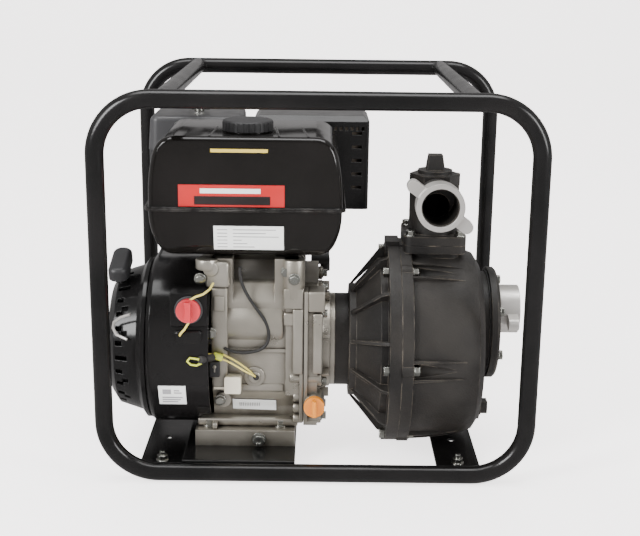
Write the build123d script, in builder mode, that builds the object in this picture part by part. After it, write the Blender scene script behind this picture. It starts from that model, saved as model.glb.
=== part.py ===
"""Engine-driven self-priming water pump in a tube frame.

Millimetres, +Z up, +X towards the suction port, -Y towards the discharge port.
The origin is on the floor, at the middle of the frame.
"""
from build123d import *
import math
import os

os.makedirs("parts", exist_ok=True)

# ---- Driving dimensions -------------------------------------------------
TUBE_R = 12.5
FRAME_W = 589.0      # between tube centres, along X
FRAME_D = 491.0      # between tube centres, along Y
FRAME_H = 524.0      # between tube centres, along Z
BEND_R = 75.0        # centreline radius of the frame bends
TOP_BAR_X = 205.0
PLATE_T = 4.0
PLATE_Z = 12.0       # top face of the cross plates
PLATE_W = 62.0
LEFT_PLATE_X = -220.0
RIGHT_PLATE_X = 206.0
PAD_Y = 205.0
BASE_TOP = 25.0
BASE_X0, BASE_X1 = -188.0, -29.0

CRANK_Y, CRANK_Z = -85.0, 160.0
FOOT_BOLT_X = (-156.0, -51.0)
FOOT_BOLT_Y = (-160.0, 35.5)
FOOT_X0, FOOT_X1 = -174.5, -30.0
CASE_X0, CASE_X1 = -150.0, -18.0
CASE_BACK_Y = 21.0
PTO_X = 27.0
FILLER_X = -2.0
CYL_X = -84.0
CYL_TILT = 25.0
BORE_R = 44.0
SHROUD_X0, SHROUD_X1 = -243.0, -152.0
SHROUD_R = 125.0
RECOIL_X0 = -300.0
ROPE_X, ROPE_LEAN = -286.0, 16.0   # the starter rope leans forwards by this many degrees

PUMP_SEAM_X = 119.7
FLANGE_R = 150.0
CASING_R = 143.0
POCKET_R = 9.5       # recess for a casing bolt head
POCKET_FLOOR_R = 128.5   # inside radius of the casing under those recesses
PUMP_BOLT_R = 142.0
PORT_R = 25.4
TAIL_R = 30.0
SUCTION_Z = 210.0
BOSS_Z = 189.0
DISCHARGE_X, DISCHARGE_Z = 170.0, 383.0
PORT_END_Y = -124.0      # inner end of the straight discharge bore

SEAM_Z = 377.0
TANK_X0, TANK_X1 = -236.0, 34.0
TANK_Y0, TANK_Y1 = -182.0, 35.0
TANK_WALL = 4.0
TANK_EDGE_R = 10.0
CAP_X, CAP_Y, CAP_Z = -100.0, -120.0, 479.5

RISE = (Align.CENTER, Align.CENTER, Align.MIN)
crank_plane = Plane(origin=(0, CRANK_Y, CRANK_Z), x_dir=(1, 0, 0), z_dir=(0, -1, 0))
crank_axis = Axis((0, CRANK_Y, CRANK_Z), (1, 0, 0))
up_cylinder = (0, math.cos(math.radians(CYL_TILT)), math.sin(math.radians(CYL_TILT)))


# ---- Shapes that repeat --------------------------------------------------
def spin(*points, mode=Mode.ADD):
    """Revolve a profile of (x, radius) points about the crank axis."""
    with BuildSketch(crank_plane) as profile:
        with BuildLine():
            Polyline(*points, close=True)
        make_face()
    revolve(profile.sketch, axis=crank_axis, mode=mode)


def rod_x(x0, x1, radius, y=CRANK_Y, z=CRANK_Z, mode=Mode.ADD):
    """Round bar along X."""
    with Locations(Plane(origin=(x0, y, z), x_dir=(0, 1, 0), z_dir=(1, 0, 0))):
        Cylinder(radius, x1 - x0, align=RISE, mode=mode)


def cone_x(x0, x1, start_r, end_r, y, z, mode=Mode.ADD):
    """Tapered bar along X."""
    with Locations(Plane(origin=(x0, y, z), x_dir=(0, 1, 0), z_dir=(1, 0, 0))):
        Cone(start_r, end_r, x1 - x0, align=RISE, mode=mode)


def rod_y(y0, y1, radius, x, z, mode=Mode.ADD):
    """Round bar along Y."""
    with Locations(Plane(origin=(x, y0, z), x_dir=(1, 0, 0), z_dir=(0, 1, 0))):
        Cylinder(radius, y1 - y0, align=RISE, mode=mode)


def rod_z(z0, z1, radius, x, y, mode=Mode.ADD):
    """Round bar along Z."""
    with Locations((x, y, z0)):
        Cylinder(radius, z1 - z0, align=RISE, mode=mode)


def block(x0, x1, y0, y1, z0, z1, mode=Mode.ADD):
    """Box between two corners."""
    with Locations(((x0 + x1) / 2, (y0 + y1) / 2, (z0 + z1) / 2)):
        Box(x1 - x0, y1 - y0, z1 - z0, mode=mode)


def bolt(where, across, head, shank_r, shank, washer_r=0.0):
    """Hexagon flange bolt: head outside the plane, shank behind it."""
    lift = 1.6 if washer_r else 0.0
    with BuildSketch(where.offset(lift)) as hexagon:
        RegularPolygon(across / 2, 6, major_radius=False)
    extrude(hexagon.sketch, amount=head)
    if washer_r:
        with BuildSketch(where) as washer:
            Circle(washer_r)
        extrude(washer.sketch, amount=lift)
    if shank:
        with BuildSketch(where) as stem:
            Circle(shank_r)
        extrude(stem.sketch, amount=-shank)


def polar(radius, degrees, x=0.0, y=CRANK_Y, z=CRANK_Z):
    """Point around an X axis; 0 degrees faces -Y, 90 degrees is up."""
    a = math.radians(degrees)
    return (x, y - radius * math.cos(a), z + radius * math.sin(a))


def facing_x(point, sign=1):
    return Plane(origin=point, x_dir=(0, 1, 0), z_dir=(sign, 0, 0))


def facing_front(point):
    return Plane(origin=point, x_dir=(1, 0, 0), z_dir=(0, -1, 0))


def wire_run(points, radius):
    """Lead of round section through the points, as one smooth run."""
    with BuildLine() as route:
        Spline(*points)
    with BuildSketch(Plane(origin=route.line @ 0, z_dir=route.line % 0)) as section:
        Circle(radius)
    sweep(section.sketch, path=route.line)


def lug_nut(seat, ring_r, depth, turn, lug_start):
    """Coupling nut turned by two opposite lugs, open through the middle."""
    with BuildSketch(seat) as ring:
        Circle(ring_r)
        Circle(TAIL_R + 0.4, mode=Mode.SUBTRACT)
    extrude(ring.sketch, amount=depth - 5)
    with BuildSketch(seat.offset(depth - 5)) as rim:
        Circle(ring_r)
        Circle(PORT_R + 1.4, mode=Mode.SUBTRACT)
    extrude(rim.sketch, amount=5)
    with BuildSketch(seat.offset(lug_start)) as lugs:
        with Locations(Location((0, 0, 0), turn)):
            SlotOverall(113, 18)
        Circle(ring_r - 1, mode=Mode.SUBTRACT)
    extrude(lugs.sketch, amount=15)


def keep(builder, label):
    builder.part.label = label
    export_step(builder.part, f"parts/{label}.step")


# ---- Tube frame ----------------------------------------------------------
def tube_loop(y):
    """One rounded rectangle of round tube, standing on the floor."""
    w, z0, z1 = FRAME_W / 2, TUBE_R, TUBE_R + FRAME_H
    with BuildLine(Plane(origin=(0, y, 0), x_dir=(1, 0, 0), z_dir=(0, -1, 0))) as path:
        FilletPolyline((w, z0), (w, z1), (-w, z1), (-w, z0), radius=BEND_R, close=True)
    with BuildSketch(Plane(origin=path.line @ 0, z_dir=path.line % 0)) as section:
        Circle(TUBE_R)
    sweep(section.sketch, path=path.line)


with BuildPart() as front_loop:
    tube_loop(-FRAME_D / 2)
keep(front_loop, "front_loop")

with BuildPart() as rear_loop:
    tube_loop(FRAME_D / 2)
keep(rear_loop, "rear_loop")


def top_bar(x):
    """Crossbar coped to sit against both loops."""
    z = TUBE_R + FRAME_H
    rod_y(-FRAME_D / 2, FRAME_D / 2, TUBE_R, x, z)
    for y in (-FRAME_D / 2, FRAME_D / 2):
        rod_x(x - 30, x + 30, TUBE_R + 0.05, y=y, z=z, mode=Mode.SUBTRACT)


with BuildPart() as top_bar_left:
    top_bar(-TOP_BAR_X)
keep(top_bar_left, "top_bar_left")

with BuildPart() as top_bar_right:
    top_bar(TOP_BAR_X)
keep(top_bar_right, "top_bar_right")


def cross_plate(x):
    """Flat plate between the bottom tubes, drilled for its pad bolts."""
    half = FRAME_D / 2 - TUBE_R
    block(x - PLATE_W / 2, x + PLATE_W / 2, -half, half, PLATE_Z - PLATE_T, PLATE_Z)
    for y in (-PAD_Y, PAD_Y):
        rod_z(0, 20, 4.5, x, y, mode=Mode.SUBTRACT)
    for y in (-120, 120):
        rod_z(0, 20, 5.5, x, y, mode=Mode.SUBTRACT)


with BuildPart() as cross_plate_left:
    cross_plate(LEFT_PLATE_X)
keep(cross_plate_left, "cross_plate_left")

with BuildPart() as cross_plate_right:
    cross_plate(RIGHT_PLATE_X)
keep(cross_plate_right, "cross_plate_right")

with BuildPart() as rubber_pads:
    for x in (LEFT_PLATE_X, RIGHT_PLATE_X):
        for y in (-PAD_Y, PAD_Y):
            rod_z(0, PLATE_Z - PLATE_T, 17, x, y)
            rod_z(0, 9, 8, x, y, mode=Mode.SUBTRACT)
keep(rubber_pads, "rubber_pads")

with BuildPart() as engine_base:
    half = FRAME_D / 2 - 9.5
    block(BASE_X0, BASE_X1, -half, half, BASE_TOP - PLATE_T, BASE_TOP)
    for x in (BASE_X0, BASE_X1 - PLATE_T):
        block(x, x + PLATE_T, -half + 4, half - 4, PLATE_Z - PLATE_T, BASE_TOP)
    for x in FOOT_BOLT_X:
        for y in FOOT_BOLT_Y:
            rod_z(10, 40, 5.2, x, y, mode=Mode.SUBTRACT)
keep(engine_base, "engine_base")

# ---- Engine castings -----------------------------------------------------
case_profile = (
    (-147, 48), (CASE_BACK_Y, 48), (CASE_BACK_Y, 105), (35, 252), (-35, 268), (-150, 268),
              (-166, 240), (-166, 104),
    (-147, 76),
)


def tilted(s, side=0.0, lift=0.0):
    """Plane across the cylinder axis at distance s from the crank."""
    c, n = math.cos(math.radians(CYL_TILT)), math.sin(math.radians(CYL_TILT))
    origin = (CYL_X + side, CRANK_Y + s * c - lift * n, CRANK_Z + s * n + lift * c)
    return Plane(origin=origin, x_dir=(1, 0, 0), z_dir=up_cylinder)


with BuildPart() as crankcase:
    with BuildSketch(Plane(origin=(CASE_X0, 0, 0), x_dir=(0, 1, 0), z_dir=(1, 0, 0))) as outline:
        with BuildLine():
            Polyline(*case_profile, close=True)
        make_face()
        fillet(outline.vertices(), 12)
    extrude(amount=CASE_X1 - CASE_X0)
    block(FOOT_X0, FOOT_X1, -182, 54, BASE_TOP, 49)
    with BuildSketch(tilted(100)):
        RectangleRounded(128, 128, 20)
    extrude(amount=24)
    for s in (126, 135, 144, 153, 162):
        with BuildSketch(tilted(s)):
            RectangleRounded(132, 124, 18)
        extrude(amount=3.4)
    with BuildSketch(tilted(110)):
        Circle(52)
    extrude(amount=58)
    for x0, x1 in ((CASE_X0, -120), (-60, -26)):
        block(x0, x1, -166, -136, 225, 303)
        block(x0, x1, -5, 20, 225, 303)
    rod_x(FOOT_X0 - 1, CASE_X0, SHROUD_R + 2, mode=Mode.SUBTRACT)
    rod_x(CASE_X0 + 10, CASE_X1, 74, mode=Mode.SUBTRACT)
    rod_x(CASE_X0 - 1, CASE_X0 + 20, 30, mode=Mode.SUBTRACT)
    with BuildSketch(tilted(40)):
        Circle(BORE_R)
    extrude(amount=140, mode=Mode.SUBTRACT)
    for x in FOOT_BOLT_X:
        for y in FOOT_BOLT_Y:
            rod_z(20, 60, 5.2, x, y, mode=Mode.SUBTRACT)
    rod_y(-190, -168, 7, -82, 36, mode=Mode.SUBTRACT)
    rod_y(-168, -160, 8, -89, 127, mode=Mode.SUBTRACT)
    for z in (165, 215):
        block(CASE_X0 + 14, CASE_X1 - 22, -169, -165, z, z + 5)
    block(CASE_X1 - 26, CASE_X1, -171, -140, 100, 235)
    block(CASE_X1 - 12, CASE_X1, -165, -140, 56, 100)
    rod_y(-170, -160, 11, -140, 205)
    rod_y(-170, -160, 11, -134, 92)
keep(crankcase, "crankcase")

cover_profile = ((-172, 70), (-150, 44), (0, 44), (20, 75), (20, 235), (-10, 262), (-140, 262), (-172, 225))
COVER_BOLTS = (
    (-161, 222), (-161, 120), (-140, 58), (-85, 56), (-20, 60), (8, 110), (8, 190), (-40, 250), (-118, 250),
)

with BuildPart() as side_cover:
    with BuildSketch(Plane(origin=(CASE_X1 + 0.2, 0, 0), x_dir=(0, 1, 0), z_dir=(1, 0, 0))) as outline:
        with BuildLine():
            Polyline(*cover_profile, close=True)
        make_face()
        fillet(outline.vertices(), 14)
    extrude(amount=20)
    spin((CASE_X1 + 20, 0), (CASE_X1 + 20, 78), (8, 74), (PTO_X - 7, 71), (PTO_X - 7, 69), (PTO_X, 69),
         (PTO_X, 0))
    rod_x(CASE_X1, CASE_X1 + 13, 74, mode=Mode.SUBTRACT)
    rod_x(CASE_X1, PTO_X + 1, 26, mode=Mode.SUBTRACT)
    for y, z in COVER_BOLTS:
        rod_x(CASE_X1 + 0.2, CASE_X1 + 26, 10, y=y, z=z)
        rod_x(CASE_X1 - 1, CASE_X1 + 30, 4.1, y=y, z=z, mode=Mode.SUBTRACT)
    rod_y(-184, -150, 15, FILLER_X, 90)
    rod_y(-190, -150, 10, FILLER_X, 90, mode=Mode.SUBTRACT)
    for degrees in (20, 70, 110, 160, 200, 250, 290, 340):
        middle = polar(80, degrees, x=CASE_X1 + 28)
        with Locations(Location(middle, (90 - degrees - 90, 0, 0))):
            Box(18, 14, 5)
    rod_x(CASE_X1 + 14, PTO_X + 1, 26, mode=Mode.SUBTRACT)
    rod_x(PTO_X, PTO_X + 30, 120, mode=Mode.SUBTRACT)
keep(side_cover, "side_cover")

with BuildPart() as cover_bolts:
    for y, z in COVER_BOLTS:
        bolt(facing_x((CASE_X1 + 26, y, z)), 10, 6, 3.9, 24, washer_r=8)
keep(cover_bolts, "cover_bolts")

with BuildPart() as frame_bolts:
    for x in FOOT_BOLT_X:
        for y in FOOT_BOLT_Y:
            bolt(Plane((x, y, 49)), 14, 8, 5, 28, washer_r=10.5)
            rod_z(14, BASE_TOP - PLATE_T, 8, x, y)
    for x in (LEFT_PLATE_X, RIGHT_PLATE_X):
        for y in (-PAD_Y, PAD_Y):
            bolt(Plane((x, y, PLATE_Z)), 13, 6.5, 4, PLATE_T, washer_r=9)
            rod_z(3, PLATE_Z - PLATE_T, 7.5, x, y)
            rod_z(PLATE_Z, 26, 4, x, y)
keep(frame_bolts, "frame_bolts")

with BuildPart() as drain_bolt:
    bolt(facing_front((-82, -182, 36)), 15, 7, 6.8, 12, washer_r=10)
    rod_y(-192, -188, 3.5, -82, 36, mode=Mode.SUBTRACT)
keep(drain_bolt, "drain_bolt")

with BuildPart() as oil_filler_plug:
    rod_y(-193, -184.2, 15, FILLER_X, 90)
    rod_y(-184.5, -160, 9.6, FILLER_X, 90)
    block(FILLER_X - 3, FILLER_X + 3, -203, -190, 78, 102)
    fillet(oil_filler_plug.faces().sort_by(Axis.Y)[0].edges(), 1.5)
keep(oil_filler_plug, "oil_filler_plug")

with BuildPart() as cylinder_head:
    with BuildSketch(tilted(168.2)):
        RectangleRounded(120, 112, 16)
    extrude(amount=8)
    for s in (181, 189, 197):
        with BuildSketch(tilted(s)):
            RectangleRounded(124, 112, 14)
        extrude(amount=3.4)
    with BuildSketch(tilted(170)):
        RectangleRounded(92, 84, 10)
    extrude(amount=40)
    with BuildSketch(tilted(168)):
        Circle(30)
    extrude(amount=8, mode=Mode.SUBTRACT)
    for side in (-36, 36):
        with BuildSketch(tilted(186, side=side * 1.2, lift=52)):
            Rectangle(30, 14)
        extrude(amount=22)
keep(cylinder_head, "cylinder_head")

with BuildPart() as rocker_cover:
    with BuildSketch(tilted(210.2)):
        RectangleRounded(108, 84, 14)
    extrude(amount=5)
    with BuildSketch(tilted(215)):
        RectangleRounded(98, 74, 18)
    extrude(amount=28, taper=8)
    with BuildSketch(tilted(209)):
        RectangleRounded(84, 60, 12)
    extrude(amount=28, mode=Mode.SUBTRACT)
keep(rocker_cover, "rocker_cover")

with BuildPart() as plug_cap:
    rod_x(CYL_X + 74, CYL_X + 104, 11, y=CRANK_Y + 174, z=CRANK_Z + 81)
    rod_x(CYL_X + 73, CYL_X + 89, 6.1, y=CRANK_Y + 174, z=CRANK_Z + 81, mode=Mode.SUBTRACT)
    rod_z(CRANK_Z + 60, CRANK_Z + 81, 8, CYL_X + 97, CRANK_Y + 174)
keep(plug_cap, "plug_cap")

# ---- Running gear inside the crankcase -----------------------------------
WEB_R = 60.0
THROW = 32.0

with BuildPart() as crankshaft:
    rod_x(-258, -110, 12)
    rod_x(-176, -106, 17)
    rod_x(-62, 30, 17)
    rod_x(30, 152, 12.5)
    for x0 in (-108, -78):
        rod_x(x0, x0 + 18, WEB_R)
        for y0 in (-WEB_R - 1, 34):
            block(x0 - 1, x0 + 19, CRANK_Y + y0, CRANK_Y + y0 + 30, CRANK_Z - 5, CRANK_Z + 70,
                  mode=Mode.SUBTRACT)
    rod_x(-92, -76, 17, z=CRANK_Z + THROW)
keep(crankshaft, "crankshaft")

with BuildPart() as connecting_rod:
    with BuildSketch(Plane(origin=tilted(64).origin, x_dir=(1, 0, 0), z_dir=up_cylinder)):
        Rectangle(9, 18)
    extrude(amount=66)
    rod_x(-91, -77, 14, y=tilted(135).origin.Y, z=tilted(135).origin.Z)
    rod_x(-92, -76, 9.05, y=tilted(135).origin.Y, z=tilted(135).origin.Z, mode=Mode.SUBTRACT)
keep(connecting_rod, "connecting_rod")

with BuildPart() as piston:
    with BuildSketch(tilted(122)):
        Circle(BORE_R - 0.4)
    extrude(amount=45)
    with BuildSketch(tilted(121)):
        Circle(BORE_R - 5)
    extrude(amount=38, mode=Mode.SUBTRACT)
    rod_x(CYL_X - 41, CYL_X + 41, 9, y=tilted(135).origin.Y, z=tilted(135).origin.Z)
    for s in (150, 155, 160):
        with BuildSketch(tilted(s)):
            Circle(BORE_R + 1)
            Circle(BORE_R - 2.5, mode=Mode.SUBTRACT)
        extrude(amount=1.6, mode=Mode.SUBTRACT)
keep(piston, "piston")

with BuildPart() as flywheel:
    spin((-214, 12.05), (-214, 28), (-200, 92), (-200, 104), (-180, 104), (-180, 84), (-192, 40),
              (-192, 12.05))
    for degrees in range(0, 360, 24):
        with Locations(Location(polar(74, degrees, x=-211), (-degrees, 0, 0))):
            Box(22, 40, 4)
    rod_x(-240, -170, 12.05, mode=Mode.SUBTRACT)
keep(flywheel, "flywheel")

with BuildPart() as starter_cup:
    spin((-256, 30), (-256, 42), (-222.5, 46), (-222.5, 12.05), (-226, 12.05), (-226, 42), (-232, 40),
         (-253, 38))
keep(starter_cup, "starter_cup")

# ---- Fan shroud and recoil starter ---------------------------------------
with BuildPart() as fan_shroud:
    rod_x(SHROUD_X0, SHROUD_X1, SHROUD_R)
    with BuildSketch(Plane(origin=(SHROUD_X0, 0, 0), x_dir=(0, 1, 0), z_dir=(1, 0, 0))) as scroll:
        with BuildLine():
            Polyline((-85, 150), (-85, 284), (20, 284), (50, 240), (38, 150), close=True)
        make_face()
        fillet(scroll.vertices().group_by(Axis.Z)[-1], 12)
    extrude(amount=SHROUD_X1 - SHROUD_X0)
    fillet(fan_shroud.faces().sort_by(Axis.X)[0].edges(), 10)
    rod_x(SHROUD_X0 + 3, SHROUD_X1 + 1, SHROUD_R - 3, mode=Mode.SUBTRACT)
    block(SHROUD_X0 + 3, SHROUD_X1 + 1, -85, 20, 165, 281, mode=Mode.SUBTRACT)
    rod_x(SHROUD_X0 - 1, SHROUD_X0 + 10, 98, mode=Mode.SUBTRACT)
    block(-205, -153, -203, -150, 214, 262)
    rod_x(SHROUD_X0 + 3, SHROUD_X1 + 1, SHROUD_R - 3, mode=Mode.SUBTRACT)
    rod_z(40, 70, 13, FOOT_BOLT_X[0], FOOT_BOLT_Y[0], mode=Mode.SUBTRACT)
    rod_y(-204, -196, 5.9, -179, 238, mode=Mode.SUBTRACT)
keep(fan_shroud, "fan_shroud")

def rope_plane(distance):
    """Plane across the starter rope, at a distance from the crank axis."""
    lean = math.radians(ROPE_LEAN)
    origin = (ROPE_X, CRANK_Y - distance * math.sin(lean), CRANK_Z + distance * math.cos(lean))
    return Plane(origin=origin, x_dir=(1, 0, 0), z_dir=(0, -math.sin(lean), math.cos(lean)))


pull_axis = Axis(rope_plane(0).origin, rope_plane(0).z_dir)

with BuildPart() as recoil_cover:
    spin((SHROUD_X0 - 0.2, 98), (SHROUD_X0 - 0.2, 120), (-249, 120), (-256, 110), (-290, 99), (RECOIL_X0, 84),
         (RECOIL_X0, 0), (-296, 0), (-296, 82), (-287, 95), (-252, 105))
    spin((-297, 0), (-297, 9), (-290, 9), (-290, 0))
    for ring, depth, step in ((107, 9, 20), (96, 26, 12), (82, 9, 15)):
        for degrees in range(0, 360, step):
            with Locations(Location(polar(ring, degrees, x=-274), (-degrees, 0, 0))):
                Box(depth, 14, 7, mode=Mode.SUBTRACT)
    for degrees in range(0, 360, 20):
        if 340 <= degrees or degrees <= 20 or 160 <= degrees <= 200:
            continue
        with Locations(Location(polar(58, degrees, x=-298), (-degrees, 0, 0))):
            Box(12, 34, 7, mode=Mode.SUBTRACT)
    with Locations(rope_plane(80)):
        Cylinder(8, 26, align=RISE)
    with Locations(rope_plane(65)):
        Cylinder(4, 43, align=RISE, mode=Mode.SUBTRACT)
keep(recoil_cover, "recoil_cover")

with BuildPart() as recoil_reel:
    spin((-289, 9.4), (-289, 52), (-286, 52), (-286, 35), (-278, 35), (-278, 52), (-275, 52), (-275, 9.4))
    rod_x(-275, -260, 14)
    rod_x(-290.5, -259, 9.4, mode=Mode.SUBTRACT)
keep(recoil_reel, "recoil_reel")

with BuildPart() as starter_grip:
    with BuildSketch(rope_plane(107.5)):
        RectangleRounded(24, 32, 10)
    extrude(amount=10, taper=-10)
    with BuildSketch(rope_plane(117.5)):
        RectangleRounded(28, 72, 13)
    extrude(amount=19)
    fillet(starter_grip.faces().sort_by(pull_axis)[-1].edges(), 7)
    with Locations(rope_plane(106)):
        Cylinder(3.05, 8, align=RISE, mode=Mode.SUBTRACT)
keep(starter_grip, "starter_grip")

with BuildPart() as starter_rope:
    with Locations(rope_plane(62)):
        Cylinder(3, 52, align=RISE)
keep(starter_rope, "starter_rope")

# ---- Engine switch and front electrics -----------------------------------
with BuildPart() as switch_knob:
    rod_y(-211, -203.3, 17, -179, 238)
    block(-183, -175, -218, -205, 224, 252)
    rod_y(-203.5, -197, 5.5, -179, 238)
keep(switch_knob, "switch_knob")

with BuildPart() as oil_alert_unit:
    block(-132, -108, -181, -166.2, 105, 131)
    fillet(oil_alert_unit.edges().filter_by(Axis.Y), 3)
    block(-148, -132, -170, -166.2, 108, 126)
keep(oil_alert_unit, "oil_alert_unit")

with BuildPart() as black_lead:
    wire_run([(-109, -170, 292), (-104, -170, 262), (-86, -172, 232), (-70, -173, 205), (-72, -173, 178),
              (-100, -174, 166), (-132, -174, 173)], 2.3)
keep(black_lead, "black_lead")

with BuildPart() as yellow_leads:
    wire_run([(-134, -174.5, 163), (-118, -176, 155), (-100, -175, 142), (-91.3, -172, 132),
              (-90.5, -169, 128.5)], 1.5)
    wire_run([(-134, -180.5, 158), (-116, -181, 149), (-98, -178, 137), (-88.5, -173, 130),
              (-87.5, -169, 127)], 1.3)
    rod_x(-176, -160, 4.5, y=-192, z=166)
    rod_x(-158, -136.5, 4.5, y=-180, z=162)
    rod_x(-161, -156, 2.5, y=-186, z=164)
keep(yellow_leads, "yellow_leads")

# ---- Fuel tank -----------------------------------------------------------
def tank_body(inset, upper):
    """Tank half as the overlap of its front outline and its end outline."""
    x0, x1 = TANK_X0 + inset, TANK_X1 - inset
    y0, y1 = TANK_Y0 + inset, TANK_Y1 - inset
    top, low = 478 - inset, 306 + inset
    with BuildPart() as body:
        with BuildSketch(Plane(origin=(0, y1, 0), x_dir=(1, 0, 0), z_dir=(0, -1, 0))) as face:
            with BuildLine():
                if upper:
                    Spline((x0, SEAM_Z), (x0 + 4, 438), (x0 + 40, top), tangents=((0.0, 1), (1, 0)))
                    Line((x0 + 40, top), (x1 - 40, top))
                    Spline((x1 - 40, top), (x1 - 4, 438), (x1, SEAM_Z), tangents=((1, 0), (0.0, -1)))
                else:
                    Spline((x0, SEAM_Z), (x0 + 7, 332), (x0 + 40, low), tangents=((0.0, -1), (1, 0)))
                    Line((x0 + 40, low), (x1 - 40, low))
                    Spline((x1 - 40, low), (x1 - 7, 332), (x1, SEAM_Z), tangents=((1, 0), (0.0, 1)))
                Line((x1, SEAM_Z), (x0, SEAM_Z))
            make_face()
        extrude(amount=y1 - y0)
        with BuildSketch(Plane(origin=(x0, 0, 0), x_dir=(0, 1, 0), z_dir=(1, 0, 0))) as side:
            with BuildLine():
                if upper:
                    Spline((y0, SEAM_Z), (y0 + 7, 425), (y0 + 38, 456 - inset), (y0 + 116, top),
                           tangents=((0.0, 1), (1, 0.05)))
                    Spline((y0 + 116, top), (y1 - 24, 470 - inset), (y1, 430), (y1, SEAM_Z),
                           tangents=((1, 0), (0.0, -1)))
                else:
                    Spline((y0, SEAM_Z), (y0 + 6, 332), (y0 + 34, low), tangents=((0.0, -1), (1, 0)))
                    Line((y0 + 34, low), (y1 - 34, low))
                    Spline((y1 - 34, low), (y1 - 6, 332), (y1, SEAM_Z), tangents=((1, 0), (0.0, 1)))
                Line((y1, SEAM_Z), (y0, SEAM_Z))
            make_face()
        extrude(amount=x1 - x0, mode=Mode.INTERSECT)
        if not inset:
            fillet([edge for edge in body.edges() if abs(edge.center().Z - SEAM_Z) > 1], TANK_EDGE_R)
    return body.part


def seam_lip(z0, z1):
    with BuildSketch(Plane.XY.offset(z0)) as rim:
        with Locations(((TANK_X0 + TANK_X1) / 2, (TANK_Y0 + TANK_Y1) / 2)):
            RectangleRounded(TANK_X1 - TANK_X0 + 10, TANK_Y1 - TANK_Y0 + 8, 14)
            RectangleRounded(TANK_X1 - TANK_X0 - 6, TANK_Y1 - TANK_Y0 - 6, 8, mode=Mode.SUBTRACT)
    extrude(rim.sketch, amount=z1 - z0)


upper_outside, upper_inside = tank_body(0, True), tank_body(TANK_WALL, True)
lower_outside, lower_inside = tank_body(0, False), tank_body(TANK_WALL, False)

with BuildPart() as tank_upper:
    add(upper_outside)
    rod_z(420, CAP_Z, 31, CAP_X, CAP_Y)
    add(upper_inside, mode=Mode.SUBTRACT)
    rod_z(380, CAP_Z + 1, 27, CAP_X, CAP_Y, mode=Mode.SUBTRACT)
    seam_lip(SEAM_Z + 0.1, SEAM_Z + 2.4)
keep(tank_upper, "tank_upper")

with BuildPart() as tank_lower:
    add(lower_outside)
    add(lower_inside, mode=Mode.SUBTRACT)
    seam_lip(SEAM_Z - 2.4, SEAM_Z - 0.1)
keep(tank_lower, "tank_lower")

with BuildPart() as fuel_cap:
    rod_z(CAP_Z + 0.3, CAP_Z + 15, 36, CAP_X, CAP_Y)
    fillet(fuel_cap.faces().sort_by(Axis.Z)[-1].edges(), 4)
    rod_z(CAP_Z - 14, CAP_Z + 1, 25.5, CAP_X, CAP_Y)
    rod_z(CAP_Z - 15, CAP_Z - 1, 22, CAP_X, CAP_Y, mode=Mode.SUBTRACT)
    with Locations((CAP_X, CAP_Y, CAP_Z + 10)):
        with PolarLocations(36.4, 30):
            Box(2.4, 3.2, 30, mode=Mode.SUBTRACT)
keep(fuel_cap, "fuel_cap")

# ---- Intake and exhaust --------------------------------------------------
with BuildPart() as carburettor:
    rod_x(-190, -142, 12, y=120, z=304)
    block(-182, -152, 100, 140, 268, 330)
    rod_z(248, 268, 14, -167, 120)
    rod_z(330, 392, 19, -167, 120)
    rod_z(338, 393, 15, -167, 120, mode=Mode.SUBTRACT)
keep(carburettor, "carburettor")

with BuildPart() as choke_lever:
    rod_y(90.2, 98, 5, -176, 320)
    block(-214, -174, 90.2, 93, 316, 324)
keep(choke_lever, "choke_lever")

with BuildPart() as fuel_valve_lever:
    rod_y(90.2, 98, 5, -162, 282)
    block(-196, -160, 90.2, 94, 278, 286)
keep(fuel_valve_lever, "fuel_valve_lever")

with BuildPart() as throttle_lever:
    rod_z(285, 289, 9, -215, -20)
    block(-218, -212, -20, 66, 286, 289)
    rod_z(289, 300, 5, -215, 62)
keep(throttle_lever, "throttle_lever")

with BuildPart() as air_cleaner_base:
    with BuildSketch(Plane((-195, 145, 393.2))):
        RectangleRounded(150, 140, 16)
    extrude(amount=24)
    with BuildSketch(Plane((-195, 145, 397))):
        RectangleRounded(144, 134, 13)
    extrude(amount=30, mode=Mode.SUBTRACT)
    rod_z(390, 400, 15, -167, 120, mode=Mode.SUBTRACT)
    rod_z(397, 470, 3, -195, 145)
keep(air_cleaner_base, "air_cleaner_base")

with BuildPart() as filter_element:
    rod_z(397.2, 452, 46, -195, 145)
    rod_z(396, 453, 30, -195, 145, mode=Mode.SUBTRACT)
keep(filter_element, "filter_element")

with BuildPart() as air_cleaner_cover:
    with BuildSketch(Plane((-195, 145, 417.4))):
        RectangleRounded(152, 142, 17)
    extrude(amount=54, taper=4)
    fillet(air_cleaner_cover.faces().sort_by(Axis.Z)[-1].edges(), 9)
    with BuildSketch(Plane((-195, 145, 417))):
        RectangleRounded(144, 134, 13)
    extrude(amount=50, taper=4, mode=Mode.SUBTRACT)
    rod_z(460, 480, 3.3, -195, 145, mode=Mode.SUBTRACT)
keep(air_cleaner_cover, "air_cleaner_cover")

with BuildPart() as air_cleaner_nut:
    rod_z(471.6, 482, 8, -195, 145)
    block(-212, -178, 143, 147, 474, 488)
    rod_z(470, 480, 3.3, -195, 145, mode=Mode.SUBTRACT)
keep(air_cleaner_nut, "air_cleaner_nut")

with BuildPart() as muffler:
    with BuildSketch(Plane((-12, 172, 326))):
        RectangleRounded(176, 108, 20)
    extrude(amount=132)
    fillet(muffler.edges().group_by(Axis.Z)[-1], 8)
    with BuildSketch(Plane((-12, 172, 330))):
        RectangleRounded(168, 100, 16)
    extrude(amount=124, mode=Mode.SUBTRACT)
    rod_z(300, 328, 14, -40, 137)
    rod_z(299, 340, 11, -40, 137, mode=Mode.SUBTRACT)
    rod_x(75, 81.5, 12, y=190, z=400)
    rod_x(70, 83, 9, y=190, z=400, mode=Mode.SUBTRACT)
keep(muffler, "muffler")

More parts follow.
